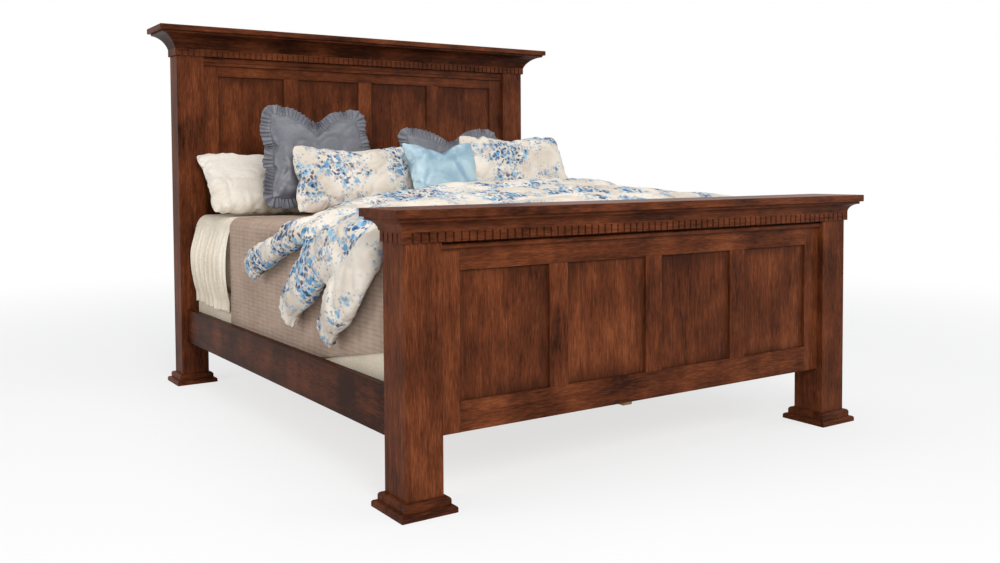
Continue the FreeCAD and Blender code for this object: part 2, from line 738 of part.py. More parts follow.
def centre_leg(name, sign):
    """A square leg under the centre beam."""
    return eased_box(f"leg_{name}",
                     ("-leg_size / 2", f"{leg_place(sign)} - leg_size / 2", "glide_thick"),
                     ("leg_size", "leg_size", "slat_low - beam_height - glide_thick"), 2)


def leg_glide(name, sign):
    """The round glide under a centre leg."""
    glide = doc.addObject("Part::Cylinder", f"glide_{name}")
    bind(glide, "Radius", "glide_radius")
    bind(glide, "Height", "glide_thick")
    bind(glide, "Placement.Base.y", leg_place(sign))
    return glide


LEGS = (("foot", "-"), ("head", "+"))
node(grouped("legs", [centre_leg(*leg) for leg in LEGS]), "centre_legs")
node(grouped("glides", [leg_glide(*leg) for leg in LEGS]), "leg_glides")

# ---------------------------------------------------------------- foundation and mattress

foundation_half = box(
    "foundation_half", ("-bedding_width / 2", "bedding_foot", "slat_high + rest_gap"),
    ("(bedding_width - foundation_split) / 2", "bedding_length", "foundation_height"))
outer_side = number("-bedding_width / 2")
half_foundation = eased(
    eased(foundation_half, "mattress_round", lambda edge: is_along(edge, 2)
          and abs(edge.Vertexes[0].X - outer_side) < 1e-6),
    "foundation_round", lambda edge: not is_along(edge, 2))
node(half_foundation, "foundation_left")
node(mirrored("foundation_mirror", half_foundation), "foundation_right")
node(eased(box("mattress_block", ("-bedding_width / 2", "bedding_foot", "mattress_low"),
               ("bedding_width", "bedding_length", "mattress_height")),
           "mattress_round", lambda edge: True), "mattress")

# ---------------------------------------------------------------- quilt and sheet


def rounded_block(side, foot, head, low, high, rounding):
    """A block with its upper edges and its uprights rounded."""
    block = Part.makeBox(2 * side, head - foot, high - low, Vector(-side, foot, low))
    edges = [edge for edge in block.Edges
             if not all(abs(vertex.Z - low) < 1e-6 for vertex in edge.Vertexes)]
    return block.makeFillet(rounding, edges)


def shell(thick, foot, head, low, cut_foot, cut_head):
    """A cover of one thickness over the mattress, cut to its length along the bed."""
    inner_side, inner_high = number("quilt_inner"), number("mattress_high + rest_gap")
    rounding = number("mattress_round + rest_gap")
    outer = rounded_block(inner_side + thick, foot - thick, head + thick, low,
                          inner_high + thick, rounding + thick)
    inner = rounded_block(inner_side, foot, head, low - 100, inner_high, rounding)
    span = Part.makeBox(4000, cut_head - cut_foot, 2000, Vector(-2000, cut_foot, 0))
    return outer.cut(inner).common(span)


def prism_across(points, half_width):
    """A prism across the whole bed from corners given along the bed and up."""
    corners = [Vector(-half_width, along, high) for along, high in points]
    plan = Part.Face(Part.makePolygon(corners + corners[:1]))
    return plan.extrude(Vector(2 * half_width, 0, 0))


def quilt():
    """The quilt over the foot of the mattress, its hem tucked in behind the rails."""
    foot = number("bedding_foot - rest_gap")
    head = number("bedding_head + rest_gap")
    hem_foot, hem_head = number("quilt_hem_foot"), number("quilt_hem_head")
    edge = number("quilt_head")
    cover = shell(number("quilt_thick"), foot, head, hem_head, foot - 100, edge)
    below_hem = prism_across([
        (foot - 100, 0), (foot - 100, hem_foot), (number("quilt_tuck_start"), hem_foot),
        (number("quilt_tuck_end"), hem_head), (number("quilt_tuck_end"), 0)], 1100)
    return shaped("quilt_form", cover.cut(below_hem))


def fold_outline(high, depth, belly):
    """The plan outline of the gathered side fall on the left at one height."""
    count = number("sheet_fold_count")
    foot = number("quilt_head + sheet_seam")
    head = number("bedding_head - mattress_round")
    inner = -number("quilt_inner")
    pitch = (head - foot) / count
    crests = [Vector(inner - number("sheet_thick") - belly, foot + index * pitch, high)
              for index in range(int(count) + 1)]
    curves = []
    for start, stop in zip(crests, crests[1:]):
        middle = (start + stop) * 0.5 - Vector(depth, 0, 0)
        curves.append(Part.Arc(start, middle, stop).toShape())
    near, far = Vector(inner, head, high), Vector(inner, foot, high)
    curves += [Part.makeLine(crests[-1], near), Part.makeLine(near, far),
               Part.makeLine(far, crests[0])]
    return Part.Wire(curves)


def sheet_cover():
    """The sheet over the head of the mattress, with a gathered fall on each side."""
    foot = number("bedding_foot - rest_gap")
    head = number("bedding_head + rest_gap")
    hem, top = number("sheet_hem"), number("sheet_fall_top")
    depth, bulge = number("sheet_fold_depth"), number("sheet_bulge")
    cover = shell(number("sheet_thick"), foot, head, hem,
                  number("quilt_head + sheet_seam"), head + 100)
    levels = [(hem, 1.0, 0.35), (hem + (top - hem) * 0.45, 0.9, 1.0),
              (hem + (top - hem) * 0.8, 0.6, 0.7), (top, 0.15, 0.0)]
    fall = Part.makeLoft([fold_outline(high, depth * fold, bulge * belly)
                          for high, fold, belly in levels], True)
    return shaped("sheet_form", cover.fuse([fall, fall.mirror(Vector(), Vector(1, 0, 0))])
                  .removeSplitter())


node(quilt(), "quilt")
node(sheet_cover(), "sheet")

# ---------------------------------------------------------------- duvet

# The duvet on top of the mattress, station by station across the bed.  Each row has the
# place across, the head edge, the two valleys between its three folds, the heights of the
# three folds from head to foot, and the height of the valleys.
DUVET_TOP = (
    (-950, -225, -480, -840, 903, 903, 890, 878),
    (-700, 0, -390, -750, 930, 924, 905, 892),
    (-350, 195, -230, -620, 962, 944, 918, 908),
    (0, 208, -145, -540, 986, 962, 930, 922),
    (350, 210, -130, -530, 994, 966, 932, 924),
    (700, 245, -120, -530, 984, 952, 924, 914),
    (950, 240, -130, -530, 925, 912, 896, 884),
)
# The three folds that hang over the left side.  Each row has a centre, the direction that
# faces away from the bed, the half width and the half thickness there.
DUVET_FOLDS = (
    ((-880, -350, 872, 0, 120, 24), (-968, -368, 856, 45, 105, 30), (-1016, -285, 812, 90, 62, 38),
     (-1022, -180, 774, 90, 60, 44), (-1022, -75, 738, 90, 62, 46), (-1020, 40, 700, 90, 72, 44),
     (-1016, 110, 678, 90, 62, 34)),
    ((-880, -660, 872, 0, 150, 24), (-970, -690, 852, 45, 140, 32), (-1020, -620, 786, 90, 92, 42),
     (-1027, -499, 722, 90, 104, 48), (-1028, -385, 640, 90, 106, 50),
     (-1022, -290, 572, 90, 88, 42), (-1014, -245, 540, 90, 66, 30)),
    ((-880, -900, 866, 0, 48, 20), (-968, -905, 846, 45, 50, 28), (-1012, -890, 790, 90, 62, 36),
     (-1020, -824, 708, 90, 90, 44), (-1024, -708, 613, 90, 100, 48),
     (-1018, -620, 545, 90, 84, 42), (-1012, -575, 510, 90, 60, 30)),
)


def duvet_section(row):
    """The duvet's section along the bed at one station across it."""
    across, head, valley_head, valley_foot, *rest = row
    fold_head, fold_middle, fold_foot, valley = rest
    low = number("quilt_high + duvet_gap") - 6
    foot = number("duvet_foot")
    edge = (low + valley) / 2

    def point(along, high):
        return Vector(across, along, high)

    def bow(start, high, stop):
        middle = point((start.y + stop.y) / 2, high)
        return Part.Arc(start, middle, stop).toShape()

    corners = [point(head, low), point(head, edge), point(valley_head, valley),
               point(valley_foot, valley), point(foot, edge), point(foot, low)]
    curves = [Part.makeLine(corners[0], corners[1]),
              bow(corners[1], fold_head, corners[2]),
              bow(corners[2], fold_middle, corners[3]),
              bow(corners[3], fold_foot, corners[4]),
              Part.makeLine(corners[4], corners[5]),
              Part.makeLine(corners[5], corners[0])]
    return Part.Wire(curves)


def fold_section(here, travel):
    """An oval across one hanging fold; travel is the direction that the fold runs in."""
    across, along, high, facing, half_width, half_thick = here
    angle = math.radians(facing)
    out = Vector(-math.sin(angle), 0, math.cos(angle))
    out = (out - travel * out.dot(travel)).normalize()
    wide = travel.cross(out).normalize()
    centre = Vector(across, along, high)
    oval = Part.Ellipse(centre + wide * half_width, centre + out * half_thick, centre)
    return Part.Wire([oval.toShape()])


def hanging_fold(rows):
    """One fold, lofted through its ovals from the top of the mattress to its loose end."""
    centres = [Vector(*row[:3]) for row in rows]
    ways = [(after - before).normalize() for before, after in
            zip([centres[0]] + centres[:-1], centres[1:] + [centres[-1]])]
    return Part.makeLoft([fold_section(row, way) for row, way in zip(rows, ways)], True)


def duvet():
    """The duvet: three full folds across the bed, hanging over the left side."""
    top = Part.makeLoft([duvet_section(row) for row in DUVET_TOP], True)
    side, foot = number("duvet_side"), number("duvet_foot")
    outer = number("quilt_outer + duvet_right_out")
    low = number("duvet_right_fall")
    high = number("quilt_high") + 30
    right = Part.makeBox(outer - side + 40, 1120, high - low,
                         Vector(side - 40, foot + 20, low))
    right = right.makeFillet(22, right.Edges)
    folds = [hanging_fold(rows) for rows in DUVET_FOLDS]
    whole = top.fuse([right] + folds)
    gap = number("duvet_gap")
    below = rounded_block(number("quilt_outer") + gap, number("bedding_foot") - 400,
                          number("bedding_head"), 0, number("quilt_high") + gap,
                          number("mattress_round + quilt_thick"))
    return shaped("duvet_form", whole.cut(below).removeSplitter())


node(duvet(), "duvet")

# ---------------------------------------------------------------- cushions

# Levels of a cushion: share of its half thickness, inset from its seam as a share of its
# height, and how far each side bows in as a share of its height.
CUSHION_LEVELS = ((-1.0, 0.36, -0.05), (-0.86, 0.2, -0.03), (-0.5, 0.07, 0.012),
                  (0.0, 0.0, 0.035),
                  (0.5, 0.07, 0.012), (0.86, 0.2, -0.03), (1.0, 0.36, -0.05))


def bowed_outline(width, height, level, bow):
    """A four-sided outline whose sides bow in by one distance."""
    x, y = width / 2, height / 2
    corners = [Vector(-x, -y, level), Vector(x, -y, level), Vector(x, y, level),
               Vector(-x, y, level)]
    curves = []
    for start, stop in zip(corners, corners[1:] + corners[:1]):
        middle = (start + stop) * 0.5
        inward = Vector(-middle.x, -middle.y, 0).normalize()
        curves.append(Part.Arc(start, middle + inward * bow, stop).toShape())
    return Part.Wire(curves)


def cushion_form(width, height, thick):
    """A stuffed cushion lying flat, its seam in the plane z = 0."""
    levels = [bowed_outline(width - 2 * inset * height, height - 2 * inset * height,
                            share * thick / 2, bow * height)
              for share, inset, bow in CUSHION_LEVELS]
    return Part.makeLoft(levels, True)


def ruffle_form(width, height):
    """The flat border round a sham."""
    thick = number("ruffle_thick")
    plate = Part.makeBox(width, height, thick, Vector(-width / 2, -height / 2, -thick / 2))
    return plate.makeFillet(number("ruffle_corner"),
                            [edge for edge in plate.Edges if is_along(edge, 2)])


def cushion(name):
    """One cushion leaning in its place."""
    width, height, thick, across, along, up, lean, turn = [
        number(f"{name}_{what}") for what in CUSHION_VALUES]
    if name.startswith("grey"):
        border = 2 * number("ruffle_width")
        form = cushion_form(width - border, height - border, thick).fuse(
            ruffle_form(width, height)).removeSplitter()
    else:
        form = cushion_form(width, height, thick)
    item = shaped(name + "_form", form)
    lay = FreeCAD.Rotation(Vector(0, 0, 1), turn)
    stand = FreeCAD.Rotation(Vector(1, 0, 0), 90 - lean)
    item.Placement = FreeCAD.Placement(Vector(across, along, up), stand.multiply(lay))
    return item


for name in CUSHIONS:
    node(cushion(name), name)

# ---------------------------------------------------------------- check and write

doc.recompute()
failed = [item.Name for item in doc.Objects if {"Invalid", "Error"} & set(item.State)]
if failed:
    raise RuntimeError(f"objects failed: {failed}")
for item in NODES:
    if item.Shape.isNull() or not item.Shape.isValid() or not item.Shape.Solids:
        raise RuntimeError(f"{item.Label} has no valid solid")
os.makedirs("parts", exist_ok=True)
for item in NODES:
    item.Shape.exportStep(f"parts/{item.Label}.step")
box_all = Part.makeCompound([item.Shape for item in NODES]).BoundBox
print(f"{len(NODES)} nodes, box X {box_all.XMin:.1f} to {box_all.XMax:.1f},"
      f" Y {box_all.YMin:.1f} to {box_all.YMax:.1f}, Z {box_all.ZMin:.1f} to {box_all.ZMax:.1f}")
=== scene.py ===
"""Looks of the dressed panel bed: stained wood, quilted and printed bedding, and cushions."""
import bmesh
import bpy
import math
from mathutils import Matrix, Vector, noise


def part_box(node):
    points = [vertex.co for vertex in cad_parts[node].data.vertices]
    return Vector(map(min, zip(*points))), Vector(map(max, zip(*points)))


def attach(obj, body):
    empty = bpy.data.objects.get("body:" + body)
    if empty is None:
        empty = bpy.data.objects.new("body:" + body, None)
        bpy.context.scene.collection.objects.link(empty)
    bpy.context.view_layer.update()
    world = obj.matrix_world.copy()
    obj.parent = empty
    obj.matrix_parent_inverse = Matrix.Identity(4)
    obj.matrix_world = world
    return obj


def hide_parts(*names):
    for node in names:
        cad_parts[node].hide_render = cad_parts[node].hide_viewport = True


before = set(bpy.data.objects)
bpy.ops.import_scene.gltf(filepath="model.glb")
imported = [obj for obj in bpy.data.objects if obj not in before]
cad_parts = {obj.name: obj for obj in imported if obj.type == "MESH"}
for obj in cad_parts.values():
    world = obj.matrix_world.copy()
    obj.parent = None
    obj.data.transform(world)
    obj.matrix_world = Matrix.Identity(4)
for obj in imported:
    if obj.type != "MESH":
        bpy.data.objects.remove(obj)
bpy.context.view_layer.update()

# ---------------------------------------------------------------- camera and lamps


# The solved camera: its place in metres, its angles in radians, its lens in millimetres and the
# shift of its optical centre as a share of the picture's width.
CAMERA_PLACE = (-2.4632, -3.6570, 1.0527)
CAMERA_YAW, CAMERA_PITCH, CAMERA_ROLL = 0.5618, -0.0406, -0.0076
CAMERA_LENS = 34.966
CAMERA_SHIFT = (0.0530, -0.0732)

# Name, place, target, side length and watts of each lamp.
LAMPS = (
    ("key", (-2.2, -5.4, 3.6), (0.0, -0.2, 0.7), 2.2, 235),
    ("side", (-5.4, 0.4, 2.8), (-0.4, 0.1, 0.7), 2.6, 90),
    ("fill", (4.6, -4.4, 2.4), (0.2, 0.0, 0.8), 3.0, 60),
    ("top", (0.0, -0.6, 4.6), (0.0, 0.0, 0.8), 3.0, 70),
)
WORLD_TINT, WORLD_LIGHT = (0.93, 0.95, 1.0, 1.0), 0.34
WHITE = (1.0, 1.0, 1.0, 1.0)


def photo_camera():
    """The camera at the photograph's viewing angle."""
    yaw, pitch, roll = CAMERA_YAW, CAMERA_PITCH, CAMERA_ROLL
    ahead = Vector((math.sin(yaw) * math.cos(pitch), math.cos(yaw) * math.cos(pitch),
                    math.sin(pitch)))
    level = Vector((math.cos(yaw), -math.sin(yaw), 0))
    above = level.cross(ahead)
    right = level * math.cos(roll) + above * math.sin(roll)
    up = above * math.cos(roll) - level * math.sin(roll)
    camera = bpy.data.objects.new("camera", bpy.data.cameras.new("camera"))
    turn = Matrix((right, up, -ahead)).transposed().to_4x4()
    camera.matrix_world = Matrix.Translation(CAMERA_PLACE) @ turn
    camera.data.lens = CAMERA_LENS
    camera.data.shift_x, camera.data.shift_y = CAMERA_SHIFT
    bpy.context.scene.collection.objects.link(camera)
    bpy.context.scene.camera = camera


def soft_lamp(name, place, target, size, watts):
    """A square area lamp that faces a point."""
    data = bpy.data.lights.new(name, "AREA")
    data.size = size
    data.energy = watts
    lamp = bpy.data.objects.new(name, data)
    lamp.location = place
    lamp.rotation_euler = (Vector(target) - Vector(place)).to_track_quat("-Z", "Y").to_euler()
    bpy.context.scene.collection.objects.link(lamp)


# ---------------------------------------------------------------- shader arithmetic


class Signal:
    """A shader socket that takes arithmetic, so that a mask reads as a formula."""

    def __init__(self, shader, socket):
        self.shader = shader
        self.socket = socket

    def math(self, operation, *others):
        return self.shader.node("ShaderNodeMath", {"operation": operation},
                                dict(enumerate((self,) + others)))

    def __add__(self, other):
        return self.math("ADD", other)

    def __sub__(self, other):
        return self.math("SUBTRACT", other)

    def __rsub__(self, other):
        return (self * -1.0).math("ADD", other)

    def __mul__(self, other):
        return self.math("MULTIPLY", other)

    __radd__ = __add__
    __rmul__ = __mul__

    def clamp(self):
        return self.shader.node("ShaderNodeClamp", {}, {"Value": self})

    def ease(self, low, high):
        """0 below low, 1 above high and smooth between."""
        return self.shader.node("ShaderNodeMapRange", {"interpolation_type": "SMOOTHSTEP"},
                                {"Value": self, "From Min": low, "From Max": high})


class Nodes:
    """The nodes of one material or of the world."""

    def __init__(self, tree):
        self.tree = tree

    def node(self, kind, settings, inputs, output=0):
        """Add a node; its settings come first, then the values or links of its sockets."""
        made = self.tree.nodes.new(kind)
        for name, value in settings.items():
            if name == "stops":
                ramp = made.color_ramp.elements
                while len(ramp) < len(value):
                    ramp.new(1.0)
                for element, (place, colour) in zip(ramp, value):
                    element.position = place
                    element.color = (*colour, 1.0)
            else:
                setattr(made, name, value)
        for name, value in inputs.items():
            self.feed(made.inputs[name], value)
        return Signal(self, made.outputs[output])

    def feed(self, socket, value):
        if isinstance(value, Signal):
            self.tree.links.new(value.socket, socket)
        else:
            socket.default_value = value

    def place(self):
        return self.node("ShaderNodeTexCoord", {}, {}, "Object")

    def axes(self, vector):
        parts = self.node("ShaderNodeSeparateXYZ", {}, {"Vector": vector})
        return [Signal(self, parts.socket.node.outputs[axis]) for axis in "XYZ"]

    def stretch(self, vector, scale, shift=(0, 0, 0)):
        return self.node("ShaderNodeMapping", {}, {"Vector": vector, "Scale": scale,
                                                   "Location": shift})

    def cloud(self, vector, scale, detail=3.0, roughness=0.5, distortion=0.0):
        return self.node("ShaderNodeTexNoise", {}, {
            "Vector": vector, "Scale": scale, "Detail": detail, "Roughness": roughness,
            "Distortion": distortion})

    def blend(self, mask, low, high):
        """Mix two colours by a mask."""
        return self.node("ShaderNodeMix", {"data_type": "RGBA"}, {0: mask, 6: low, 7: high}, 2)

    def seen(self):
        """1 for the rays that should meet the pale background, 0 for those that light."""
        path = self.node("ShaderNodeLightPath", {}, {}).socket.node
        camera, glossy, through = [Signal(self, path.outputs[f"Is {kind} Ray"])
                                   for kind in ("Camera", "Glossy", "Transmission")]
        return camera.math("MAXIMUM", glossy).math("MAXIMUM", through)


class Shader(Nodes):
    """One material, by its principled surface."""

    def __init__(self, name, **constants):
        self.material = bpy.data.materials.new(name)
        self.material.use_nodes = True
        super().__init__(self.material.node_tree)
        self.surface = self.tree.nodes["Principled BSDF"]
        for socket, value in constants.items():
            self.surface.inputs[socket.replace("_", " ")].default_value = value

    def set(self, name, value):
        self.feed(self.surface.inputs[name], value)

    def bump(self, height, distance, strength=1.0):
        self.set("Normal", self.node("ShaderNodeBump", {}, {
            "Height": height, "Distance": distance, "Strength": strength}))


def colour(red, green, blue):
    """A colour from its 0 to 255 values."""
    def linear(value):
        value /= 255
        return value / 12.92 if value <= 0.04045 else ((value + 0.055) / 1.055) ** 2.4
    return linear(red), linear(green), linear(blue), 1.0


# ---------------------------------------------------------------- floor and surround

FLOOR_HALF = 30.0
# The floor glows by 0.7 near the bed, which keeps the bed's shadow, and by 1 from far on.
GLOW_NEAR, GLOW_FAR = 1.6, 6.5
NEAR_GLOW = 0.7


def pale_floor():
    """A pale floor that fades to white away from the bed."""
    mesh = bmesh.new()
    bmesh.ops.create_grid(mesh, x_segments=1, y_segments=1, size=FLOOR_HALF)
    data = bpy.data.meshes.new("floor")
    mesh.to_mesh(data)
    mesh.free()
    floor = bpy.data.objects.new("floor", data)
    bpy.context.scene.collection.objects.link(floor)
    shader = Shader("pale_floor", Base_Color=(0.8, 0.8, 0.8, 1.0), Roughness=0.9)
    across, along, _ = shader.axes(shader.place())
    distance = (across * across + along * along).math("SQRT")
    glowing = distance.ease(GLOW_NEAR, GLOW_FAR) * (1 - NEAR_GLOW) + NEAR_GLOW
    mixed = shader.node("ShaderNodeMixShader", {}, {
        0: shader.seen() * glowing, 1: Signal(shader, shader.surface.outputs[0]),
        2: shader.node("ShaderNodeEmission", {}, {"Color": WHITE, "Strength": 1.0})})
    shader.feed(shader.tree.nodes["Material Output"].inputs[0], mixed)
    data.materials.append(shader.material)


def pale_world():
    """Even weak light from all sides, behind a white background."""
    world = bpy.data.worlds.new("surround")
    bpy.context.scene.world = world
    world.use_nodes = True
    nodes = Nodes(world.node_tree)
    light = nodes.tree.nodes["Background"]
    nodes.feed(light.inputs["Color"], WORLD_TINT)
    nodes.feed(light.inputs["Strength"], WORLD_LIGHT)
    mixed = nodes.node("ShaderNodeMixShader", {}, {
        0: nodes.seen(), 1: Signal(nodes, light.outputs[0]),
        2: nodes.node("ShaderNodeBackground", {}, {"Color": WHITE})})
    nodes.feed(nodes.tree.nodes["World Output"].inputs[0], mixed)


# ---------------------------------------------------------------- wood and metal

DARK_STAIN = colour(44, 21, 12)
MID_STAIN = colour(93, 48, 27)
RED_STAIN = colour(136, 76, 44)


def stained_wood(name, grain, shade_box=None, lift=0.0):
    """Stained and lacquered wood whose grain runs along one axis.

    The third argument holds the low and high corner of a board whose edges are darkened with
    painted shade.
    """
    shader = Shader(name, Roughness=0.4, Specular_IOR_Level=0.03, Coat_Weight=0.02,
                    Coat_Roughness=0.12)
    shift = (noise.random() * 9, noise.random() * 9, noise.random() * 9)
    scale = [1.7 if axis == grain else 17.0 for axis in "xyz"]
    place = shader.place()
    fibre = shader.cloud(shader.stretch(place, [side * 16 for side in scale], shift), 1.0,
                         4.0, 0.65)
    fleck = shader.cloud(shader.stretch(place, [side * 6 for side in scale], shift), 1.0,
                         3.0, 0.6, 0.4)
    figure = shader.cloud(shader.stretch(place, scale, shift), 1.0, 4.0, 0.55, 1.6)
    blotch = shader.cloud(shader.stretch(place, (4.5, 4.5, 3.2), shift), 1.0, 3.0, 0.6)
    tone = (figure * 0.34 + blotch * 0.56 + fibre * 0.5 + fleck * 0.26 - 0.34 + lift).clamp()
    stain = shader.node("ShaderNodeValToRGB", {"stops": (
        (0.3, DARK_STAIN[:3]), (0.5, MID_STAIN[:3]), (0.72, RED_STAIN[:3]))}, {"Fac": tone})
    stain = shader.blend(fleck.ease(0.56, 0.72) * 0.35, stain, DARK_STAIN)
    # Painted shade: the board darkens towards its edges, like the shade in its recess.
    if shade_box:
        low, high = shade_box
        edge_shade = None
        for axis, lowest, highest in zip(shader.axes(place), low, high):
            if highest - lowest < 0.05:
                continue
            inside = (axis - lowest).math("MINIMUM", highest - axis)
            edge = 1.0 - (inside + (blotch - 0.5) * 0.1).ease(0.0, 0.075)
            edge_shade = edge if edge_shade is None else edge_shade.math("MAXIMUM", edge)
        stain = shader.blend(edge_shade * 0.55, stain, DARK_STAIN)
    shader.set("Base Color", stain)
    shader.set("Roughness", fibre * 0.16 + 0.3)
    shader.bump(fibre, 0.0004, 0.35)
    return shader.material


def raw_wood(name, grain):
    """Planed softwood with no finish."""
    shader = Shader(name, Roughness=0.7)
    scale = [1.5 if axis == grain else 26.0 for axis in "xyz"]
    figure = shader.cloud(shader.stretch(shader.place(), scale), 1.0, 4.0, 0.6, 0.6)
    shader.set("Base Color", shader.node("ShaderNodeValToRGB", {"stops": (
        (0.3, colour(150, 112, 70)[:3]), (0.7, colour(205, 172, 124)[:3]))}, {"Fac": figure}))
    shader.bump(figure, 0.0005, 0.3)
    return shader.material


def zinc_steel():
    """Zinc plated steel of the rail fasteners and screws."""
    shader = Shader("zinc_steel", Metallic=1.0)
    spangle = shader.cloud(shader.place(), 160.0, 3.0)
    shader.set("Base Color", shader.blend(spangle, colour(150, 150, 146), colour(196, 196, 190)))
    shader.set("Roughness", spangle * 0.3 + 0.25)
    return shader.material


def dark_plastic():
    """Moulded plastic of the leg glides."""
    shader = Shader("dark_plastic", Base_Color=colour(32, 31, 30))
    grain = shader.cloud(shader.place(), 700.0, 2.0)
    shader.set("Roughness", grain * 0.2 + 0.45)
    shader.bump(grain, 0.0002, 0.4)
    return shader.material


def dress_frame():
    """Give every hard CAD piece its own finish, with the grain along its length."""
    runs_up = ("post", "stile", "muntin", "panel")
    raw = {"y": ("ledger_left", "ledger_right", "centre_beam"), "x": ("slats",),
           "z": ("centre_legs",)}
    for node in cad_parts:
        if node in SOFT_NODES:
            continue
        raw_grain = [axis for axis, names in raw.items() if node in names]
        low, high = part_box(node)
        if node in ("rail_hooks", "post_hook_plates", "ledger_screws"):
            finish = zinc_steel()
        elif node == "leg_glides":
            finish = dark_plastic()
        elif raw_grain:
            finish = raw_wood(node + "_finish", raw_grain[0])
        elif "side_rail" in node:
            finish = stained_wood(node + "_finish", "y", (low, high), -0.1)
        elif "plinth" in node:
            finish = stained_wood(node + "_finish", "x", None, -0.05)
        elif any(word in node for word in runs_up):
            # Panels get painted shade that darkens them along their edges.
            edges = (low, high) if "panel" in node else None
            finish = stained_wood(node + "_finish", "z", edges, -0.01)
        else:
            # The headboard crown is made darker than the other pieces as painted shade from the cap
            # over it.
            lift = -0.13 if node == "headboard_crown" else -0.03
            finish = stained_wood(node + "_finish", "x", None, lift)
        mesh = bpy.data.objects[node].data
        mesh.materials.clear()
        mesh.materials.append(finish)


SOFT_NODES = ("foundation_left", "foundation_right", "mattress", "quilt", "sheet", "duvet",
              "white_pillow_left", "white_pillow_right", "grey_sham_left", "grey_sham_right",
              "floral_sham_left", "floral_sham_right", "blue_pillow")

# ---------------------------------------------------------------- fabrics


def weave(shader, threads, depth):
    """Fine cloth relief: crossing threads with some slub."""
    place = shader.place()
    slub = shader.cloud(place, threads * 0.55, 2.0, 0.7)
    fleck = shader.cloud(place, threads * 0.12, 3.0, 0.6)
    shader.bump(slub * 0.6 + fleck * 0.6, depth, 0.5)
    return fleck


def plain_cloth(name, pale, deep, threads=900.0, depth=0.0006, rough=0.85, gloss=0.25):
    """Plain woven cloth between two close colours."""
    shader = Shader(name, Roughness=rough, Specular_IOR_Level=gloss)
    fleck = weave(shader, threads, depth)
    broad = shader.cloud(shader.place(), 5.0, 3.0)
    shader.set("Base Color", shader.blend((fleck * 0.5 + broad * 0.5).ease(0.3, 0.7), deep, pale))
    return shader.material


def quilted_cloth():
    """Taupe cloth stitched in close rows, with cross rows further apart, and painted shade in the
    stitch valleys.
    """
    shader = Shader("quilted_cloth", Roughness=0.7, Specular_IOR_Level=0.15)
    place = shader.place()
    across, along, high = shader.axes(place)
    ripple = (shader.cloud(place, 9.0, 2.0) - 0.5) * 0.006

    def rows(axis, pitch, offset):
        wave = (axis + ripple + offset) * (math.pi / pitch)
        return wave.math("SINE").math("ABSOLUTE").math("POWER", 0.45)

    side = across.math("ABSOLUTE").ease(0.955, 0.972)
    close_rows = rows(high, 0.0165, 0.004) * side + rows(across, 0.0165, 0.004) * (1.0 - side)
    cross_rows = rows(along, 0.052, 0.0)
    puff = close_rows * 0.6 + cross_rows * 0.4
    pucker = shader.cloud(shader.stretch(place, (60, 22, 90)), 1.0, 3.0)
    broad = shader.cloud(place, 5.5, 2.0)
    # Painted shade: the stitch rows and puckers darken the colour in their hollows and lighten it
    # on the puffs, following the same relief as the bump.
    tone = (puff * 0.26 + pucker * 0.36 + broad * 0.5).ease(0.2, 0.95)
    shader.set("Base Color", shader.blend(tone, colour(134, 112, 97), colour(180, 158, 141)))
    shader.bump(puff + pucker * 1.3, 0.0026, 0.6)
    return shader.material


def printed_cloth():
    """Cream cotton with drifts of small blossoms in blues, and a little plum."""
    shader = Shader("printed_cloth", Roughness=0.72, Specular_IOR_Level=0.3)
    place = shader.place()
    sway = shader.node("ShaderNodeTexNoise", {}, {"Vector": place, "Scale": 38.0, "Detail": 2.0},
                       1)
    swayed = shader.node("ShaderNodeVectorMath", {"operation": "MULTIPLY_ADD"}, {
        0: sway, 1: (0.022, 0.022, 0.022), 2: place})
    drift = shader.cloud(shader.stretch(place, (1, 1, 1), (3.1, 0.4, 1.7)), 5.2, 3.0, 0.6)
    drift = drift + (shader.axes(place)[0] * -1.0).ease(0.9, 1.02) * 0.045
    cloth = shader.blend(shader.cloud(place, 6.0, 3.0).ease(0.35, 0.65),
                         colour(202, 190, 174), colour(224, 215, 202))
    # Scale, petal size, start and softness of the drifts, dye, strength and shift of each layer.
    layers = (
        (30.0, 0.33, 0.45, 0.09, colour(176, 160, 156), 0.7, (0.3, 1.0, 0.2)),
        (28.0, 0.34, 0.47, 0.08, colour(134, 180, 204), 0.9, (2.0, 0.1, 4.0)),
        (34.0, 0.34, 0.49, 0.08, colour(74, 138, 182), 0.95, (5.0, 3.0, 1.0)),
        (44.0, 0.33, 0.51, 0.07, colour(46, 68, 108), 0.95, (7.5, 2.0, 6.0)),
        (58.0, 0.32, 0.51, 0.06, colour(50, 46, 62), 0.9, (1.0, 8.0, 3.0)),
        (72.0, 0.30, 0.42, 0.07, colour(104, 146, 178), 0.8, (4.0, 6.0, 9.0)),
    )
    for scale, petal, start, soft, dye, strength, shift in layers:
        cells = shader.node("ShaderNodeTexVoronoi", {"feature": "F1"}, {
            "Vector": shader.stretch(swayed, (1, 1, 1), shift), "Scale": scale,
            "Randomness": 0.9})
        chosen = shader.axes(Signal(shader, cells.socket.node.outputs["Color"]))[0]
        blossom = 1.0 - cells.ease(petal, petal + 0.14)
        mask = blossom * drift.ease(start, start + soft) * chosen.ease(0.3, 0.42)
        cloth = shader.blend(mask * strength, cloth, dye)
    shader.set("Base Color", cloth)
    fleck = shader.cloud(place, 520.0, 2.0, 0.7)
    crinkle = shader.cloud(shader.stretch(place, (22, 30, 30)), 1.0, 4.0, 0.5, 0.8)
    shader.bump(fleck * 0.1 + crinkle * 0.9, 0.008, 0.5)
    return shader.material


